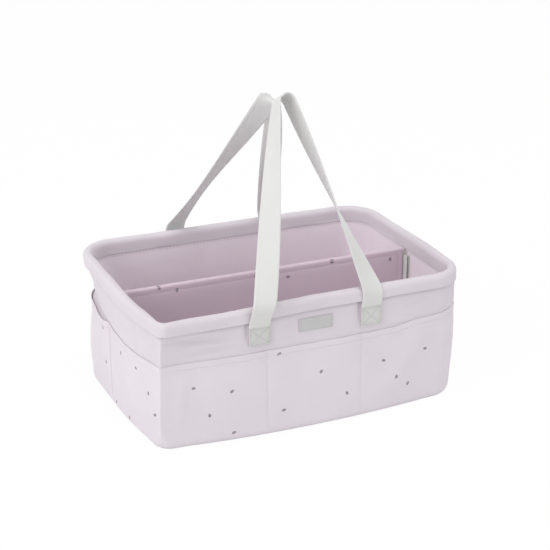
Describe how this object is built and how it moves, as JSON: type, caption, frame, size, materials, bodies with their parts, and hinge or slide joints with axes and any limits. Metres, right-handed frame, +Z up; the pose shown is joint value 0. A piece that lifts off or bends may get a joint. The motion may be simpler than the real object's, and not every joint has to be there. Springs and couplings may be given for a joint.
{
  "type": "diaper caddy",
  "caption": "Soft rectangular nursery caddy with padded walls and rim, outside pockets, two webbing carrying handles and a lift-out divider.",
  "frame": {"origin": "under the middle of the base, on the surface the caddy stands on", "axes": "+Z up, +X along the length, the side with the label faces -Y"},
  "size_m": [0.3904, 0.2742, 0.3539],
  "materials": {
    "canvas": "matte",
    "printed_canvas": "matte, with a sparse print of small dark specks",
    "lining": "matte",
    "webbing": "woven, matte",
    "label": "woven, matte",
    "tape": "hook-and-loop pile",
    "foam": "soft foam",
    "board": "stiffener board"
  },
  "bodies": {
    "basket": {"outer_wall": "canvas", "outer_base": "canvas", "lining_wall": "lining", "lining_base": "lining", "base_board": "board", "rim_facing": "canvas", "rim_foam": "foam", "front_wall_foam": "foam", "right_wall_foam": "foam", "back_wall_foam": "foam", "left_wall_foam": "foam", "front_pocket": "printed_canvas", "back_pocket": "printed_canvas", "left_pocket": "printed_canvas", "right_pocket": "printed_canvas", "front_label": "label", "front_left_handle_end": "webbing", "front_right_handle_end": "webbing", "back_left_handle_end": "webbing", "back_right_handle_end": "webbing", "left_loop_tape": "tape", "right_loop_tape": "tape"},
    "front_loop": {"front_handle": "webbing"},
    "back_loop": {"back_handle": "webbing"},
    "divider": {"divider_cover": "printed_canvas", "divider_board": "board", "left_hook_tape": "tape", "right_hook_tape": "tape"}
  },
  "joints": [
    {"name": "front_handle_swing", "type": "hinge", "parent": "basket", "child": "front_loop", "pos_m": [0, -0.1333, 0.13545], "axis": [1, 0, 0], "range_deg": [0, 140]},
    {"name": "back_handle_swing", "type": "hinge", "parent": "basket", "child": "back_loop", "pos_m": [0, 0.1333, 0.13545], "axis": [-1, 0, 0], "range_deg": [0, 140]},
    {"name": "divider_lift", "type": "slide", "parent": "basket", "child": "divider", "axis": [0, 0, 1], "range_m": [0, 0.156]}
  ]
}
